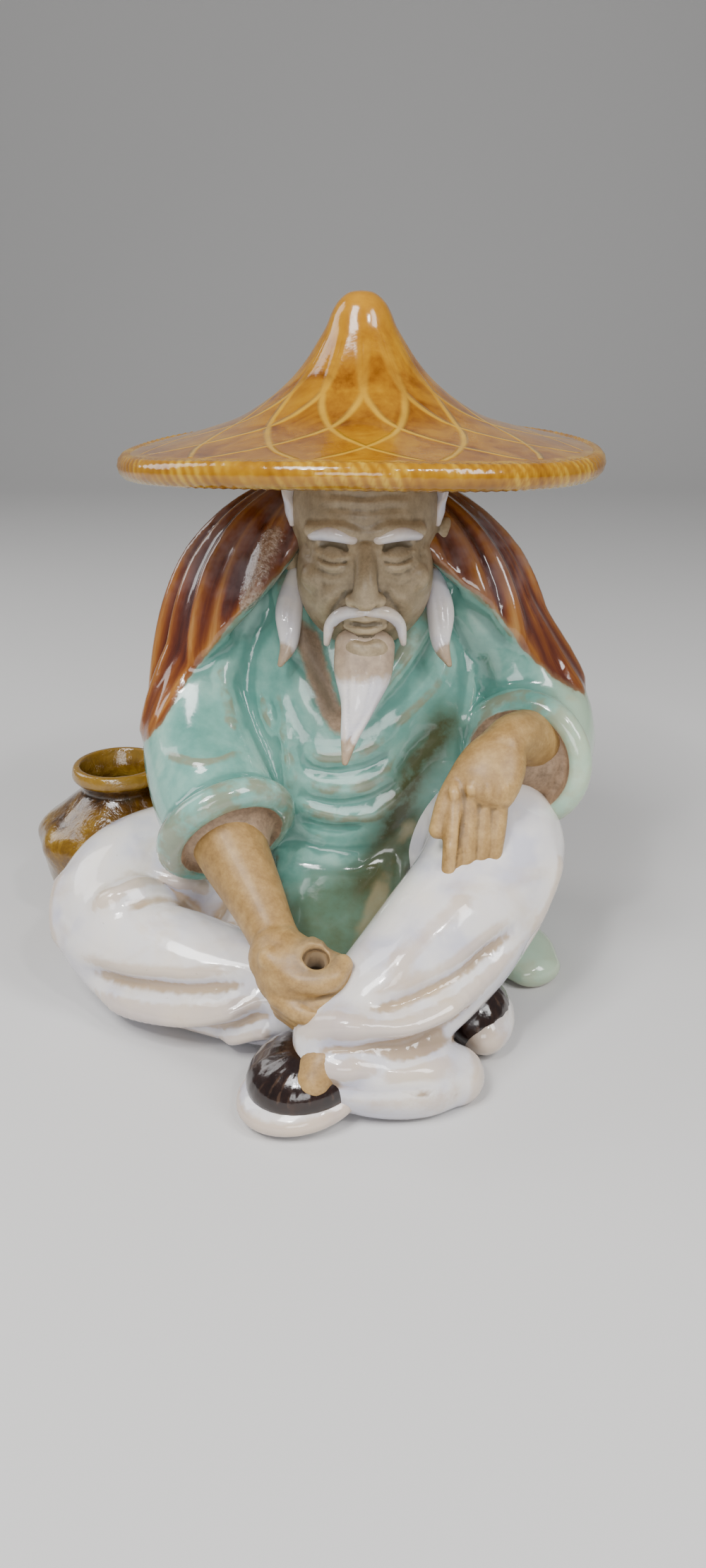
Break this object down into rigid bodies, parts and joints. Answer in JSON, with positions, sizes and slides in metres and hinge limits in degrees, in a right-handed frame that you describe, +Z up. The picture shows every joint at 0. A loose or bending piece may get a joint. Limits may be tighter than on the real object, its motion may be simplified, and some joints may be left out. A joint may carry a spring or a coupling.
{
  "type": "seated mudman figurine",
  "caption": "Glazed stoneware mudman: a seated fisherman in a pointed straw hat and rain cape, fist holed for a rod, an open jar at the side; stands on its flat underside.",
  "frame": {"origin": "centre of the bounding box at the underside, level with the surface it stands on", "axes": "+Z up, -Y the way the figure faces, +X towards the figure's left hand"},
  "size_m": [0.1622, 0.1446, 0.18],
  "materials": {
    "stoneware": "glossy"
  },
  "bodies": {
    "root": {"mudman": "stoneware"}
  },
  "joints": []
}
